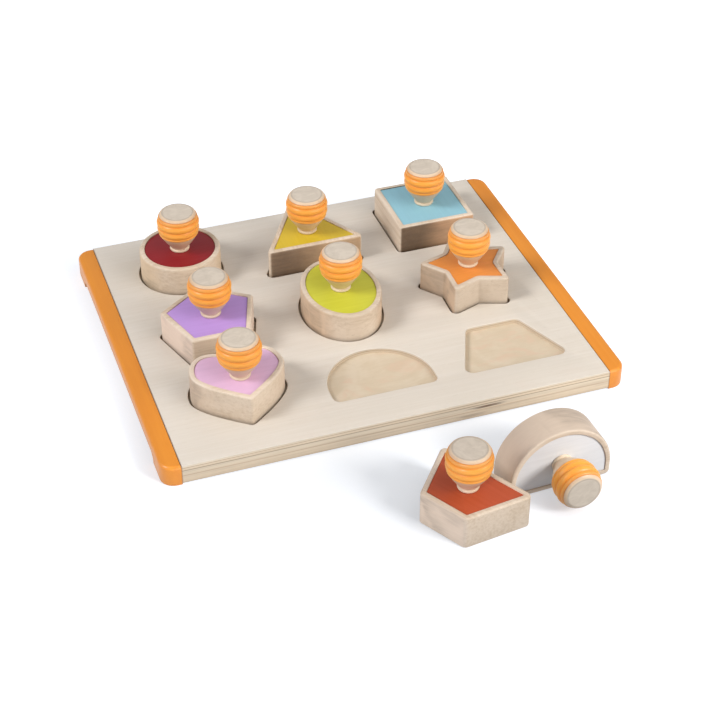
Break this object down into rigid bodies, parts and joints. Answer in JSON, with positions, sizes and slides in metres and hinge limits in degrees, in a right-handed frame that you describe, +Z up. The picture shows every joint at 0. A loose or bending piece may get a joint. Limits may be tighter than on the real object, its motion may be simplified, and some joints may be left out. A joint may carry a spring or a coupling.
{
  "type": "knob shape puzzle",
  "caption": "Wooden shape puzzle board on orange side rails, with thick blocks in recesses, each lifted out by a turned knob with a ribbed rubber grip",
  "frame": {"origin": "middle of the base board's flat underside", "axes": "+X to the right along the board's front edge, +Y to its back edge, +Z up"},
  "size_m": [0.404, 0.4658, 0.0824],
  "materials": {
    "birch": "satin",
    "birch_core": "satin",
    "block_wood": "satin",
    "knob_wood": "satin",
    "dowel_wood": "matte",
    "orange_lacquer": "gloss",
    "orange_rubber": "satin",
    "dark_red": "satin",
    "yellow": "satin",
    "light_blue": "satin",
    "lilac": "satin",
    "lime": "satin",
    "orange_paint": "satin",
    "pink": "satin",
    "white": "satin",
    "rust": "satin"
  },
  "bodies": {
    "board": {"base_board": "birch_core", "top_sheet": "birch", "left_rail": "orange_lacquer", "right_rail": "orange_lacquer", "left_front_dowel": "dowel_wood", "left_back_dowel": "dowel_wood", "right_front_dowel": "dowel_wood", "right_back_dowel": "dowel_wood"},
    "circle_piece": {"circle_block": "block_wood", "circle_face": "dark_red", "circle_knob": "knob_wood", "circle_grip": "orange_rubber"},
    "triangle_piece": {"triangle_block": "block_wood", "triangle_face": "yellow", "triangle_knob": "knob_wood", "triangle_grip": "orange_rubber"},
    "square_piece": {"square_block": "block_wood", "square_face": "light_blue", "square_knob": "knob_wood", "square_grip": "orange_rubber"},
    "pentagon_piece": {"pentagon_block": "block_wood", "pentagon_face": "lilac", "pentagon_knob": "knob_wood", "pentagon_grip": "orange_rubber"},
    "ellipse_piece": {"ellipse_block": "block_wood", "ellipse_face": "lime", "ellipse_knob": "knob_wood", "ellipse_grip": "orange_rubber"},
    "star_piece": {"star_block": "block_wood", "star_face": "orange_paint", "star_knob": "knob_wood", "star_grip": "orange_rubber"},
    "heart_piece": {"heart_block": "block_wood", "heart_face": "pink", "heart_knob": "knob_wood", "heart_grip": "orange_rubber"},
    "half_round_piece": {"half_round_block": "block_wood", "half_round_face": "white", "half_round_knob": "knob_wood", "half_round_grip": "orange_rubber"},
    "trapezoid_piece": {"trapezoid_block": "block_wood", "trapezoid_face": "rust", "trapezoid_knob": "knob_wood", "trapezoid_grip": "orange_rubber"}
  },
  "joints": [
    {"name": "circle_lift", "type": "slide", "parent": "board", "child": "circle_piece", "axis": [0, 0, 1], "range_m": [0, 0.06]},
    {"name": "triangle_lift", "type": "slide", "parent": "board", "child": "triangle_piece", "axis": [0, 0, 1], "range_m": [0, 0.06]},
    {"name": "square_lift", "type": "slide", "parent": "board", "child": "square_piece", "axis": [0, 0, 1], "range_m": [0, 0.06]},
    {"name": "pentagon_lift", "type": "slide", "parent": "board", "child": "pentagon_piece", "axis": [0, 0, 1], "range_m": [0, 0.06]},
    {"name": "ellipse_lift", "type": "slide", "parent": "board", "child": "ellipse_piece", "axis": [0, 0, 1], "range_m": [0, 0.06]},
    {"name": "star_lift", "type": "slide", "parent": "board", "child": "star_piece", "axis": [0, 0, 1], "range_m": [0, 0.06]},
    {"name": "heart_lift", "type": "slide", "parent": "board", "child": "heart_piece", "axis": [0, 0, 1], "range_m": [0, 0.06]},
    {"name": "half_round_lift", "type": "slide", "parent": "board", "child": "half_round_piece", "axis": [0, 0, 1], "range_m": [0, 0.06]},
    {"name": "trapezoid_lift", "type": "slide", "parent": "board", "child": "trapezoid_piece", "axis": [0, 0, 1], "range_m": [0, 0.06]}
  ]
}
